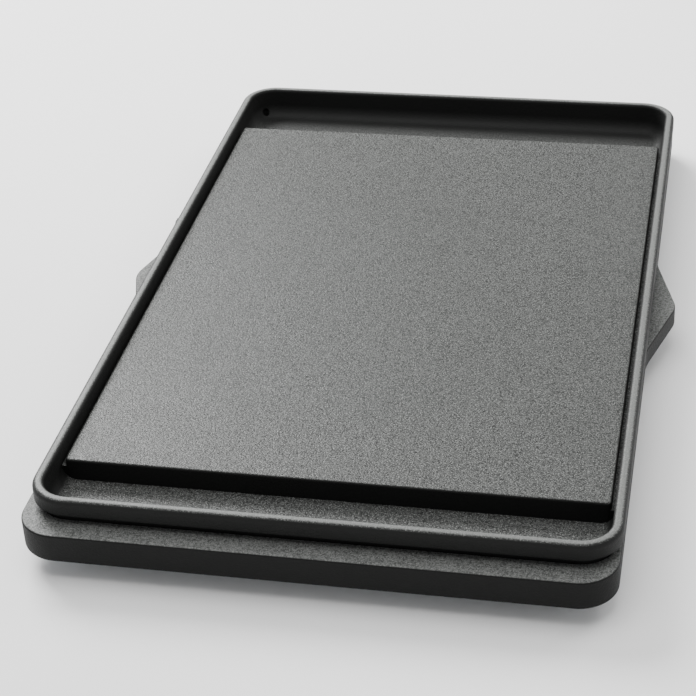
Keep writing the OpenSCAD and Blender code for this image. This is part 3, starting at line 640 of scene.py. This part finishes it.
def build_dial_marks():
    """Raised marks on the dial ring, over the 270 degrees that the knob turns through. The first is wider."""
    ring_lo, ring_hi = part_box("dial_ring")
    knob_lo, knob_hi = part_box("control_knob")
    inner = (knob_hi.y - knob_lo.y) / 2 + 0.15 * MM
    outer = (ring_hi.y - ring_lo.y) / 2 - 0.1 * MM
    centre = Vector((ring_lo.x, (ring_lo.y + ring_hi.y) / 2, (ring_lo.z + ring_hi.z) / 2))
    turn = next(j for j in frame["joints"] if j["name"] == "knob_turn")
    count, spacing = 7, 45
    first_half_w, half_w, half_height, rounding = 0.55 * MM, 0.32 * MM, 0.12 * MM, 0.06 * MM
    bm = bmesh.new()
    for k in range(count):
        made = bmesh.ops.create_cube(bm, size=1)["verts"]
        half = half_w if k else first_half_w
        for v in made:
            v.co = Vector((2 * v.co.x * half_height, 2 * v.co.y * half, outer if v.co.z > 0 else inner))
        new = round_edges(bm, list({e for v in made for e in v.link_edges}), rounding)
        rotation = Matrix.Rotation(math.radians(spacing * k), 3, Vector(turn["axis"]))
        bmesh.ops.rotate(bm, verts=new, cent=(0, 0, 0), matrix=rotation)
        bmesh.ops.translate(bm, verts=new, vec=centre)
    marks = make_object("dial_marks", bm)
    marks.data.materials.append(materials["knob_plastic"])
    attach(marks, "base")


# ---------------------------------------------------------------- studio

def build_camera():
    """Camera of the rest view: azimuth, elevation and roll about the point that it looks at."""
    azimuth, elevation, roll = (math.radians(a) for a in (-12.781, 32.431, -3.042))
    aim = Vector((-13.4 * MM, -90.2 * MM, RIM_TOP))
    distance = 1085.5 * MM
    ahead = Vector((math.sin(azimuth) * math.cos(elevation), math.cos(azimuth) * math.cos(elevation),
                    -math.sin(elevation)))
    level = Vector((math.cos(azimuth), -math.sin(azimuth), 0))
    upright = level.cross(ahead)
    right = math.cos(roll) * level + math.sin(roll) * upright
    up = math.cos(roll) * upright - math.sin(roll) * level
    data = bpy.data.cameras.new("camera")
    data.sensor_width = 36
    data.lens = 98.66
    data.clip_end = 20
    camera = bpy.data.objects.new("camera", data)
    turn = Matrix((right, up, -ahead)).transposed().to_4x4()
    camera.matrix_world = Matrix.Translation(aim - ahead * distance) @ turn
    bpy.context.scene.collection.objects.link(camera)
    bpy.context.scene.camera = camera


def area_light(name, location, target, size, power):
    data = bpy.data.lights.new(name, "AREA")
    data.shape = "RECTANGLE"
    data.size, data.size_y = size
    data.energy = power
    light = bpy.data.objects.new(name, data)
    light.location = location
    light.rotation_euler = (Vector(target) - Vector(location)).to_track_quat("-Z", "Y").to_euler()
    bpy.context.scene.collection.objects.link(light)


def build_studio():
    floor = sweep_solid("floor", rounded_rect(12, 12, 0.5), [(0, -0.01), (0, 0)])
    mat, tree, shader, coords = node_tree("floor")
    shader.inputs["Roughness"].default_value = 0.9
    shader.inputs["Specular IOR Level"].default_value = 0.1
    tone = noise(tree, coords, 3)
    tree.links.new(ramp(tree, tone, [(0.3, grey(0.86)), (0.7, grey(0.9))]), shader.inputs["Base Color"])
    floor.data.materials.append(mat)

    world = bpy.data.worlds.new("world")
    bpy.context.scene.world = world
    world.use_nodes = True
    world.node_tree.nodes["Background"].inputs["Color"].default_value = (1, 1, 1, 1)
    world.node_tree.nodes["Background"].inputs["Strength"].default_value = 0.5

    area_light("back_left_soft", (-1.15, 1.22, 1.3), (-0.05, -0.1, 0.03), (1.1, 0.8), 94)
    area_light("overhead_soft", (-0.2, 0.0, 1.9), (-0.05, -0.05, 0), (1.6, 1.6), 34)
    area_light("back_right_soft", (1.1, 1.2, 1.2), (0.1, -0.05, 0.03), (0.9, 0.7), 15)
    area_light("right_soft", (1.5, 0.1, 0.5), (0.1, -0.05, 0.03), (0.5, 0.4), 2)


def dress_cad():
    """Every CAD piece gets its slot's material."""
    for part in frame["record"]["subparts"]:
        obj = nodes[part["node"]]
        obj.data.materials.clear()
        obj.data.materials.append(materials[part["material_slot"]])
        for polygon in obj.data.polygons:
            polygon.material_index = 0


build_camera()
build_plate()
build_housing()
build_sensor_spring()
build_dial_marks()
dress_cad()
build_studio()
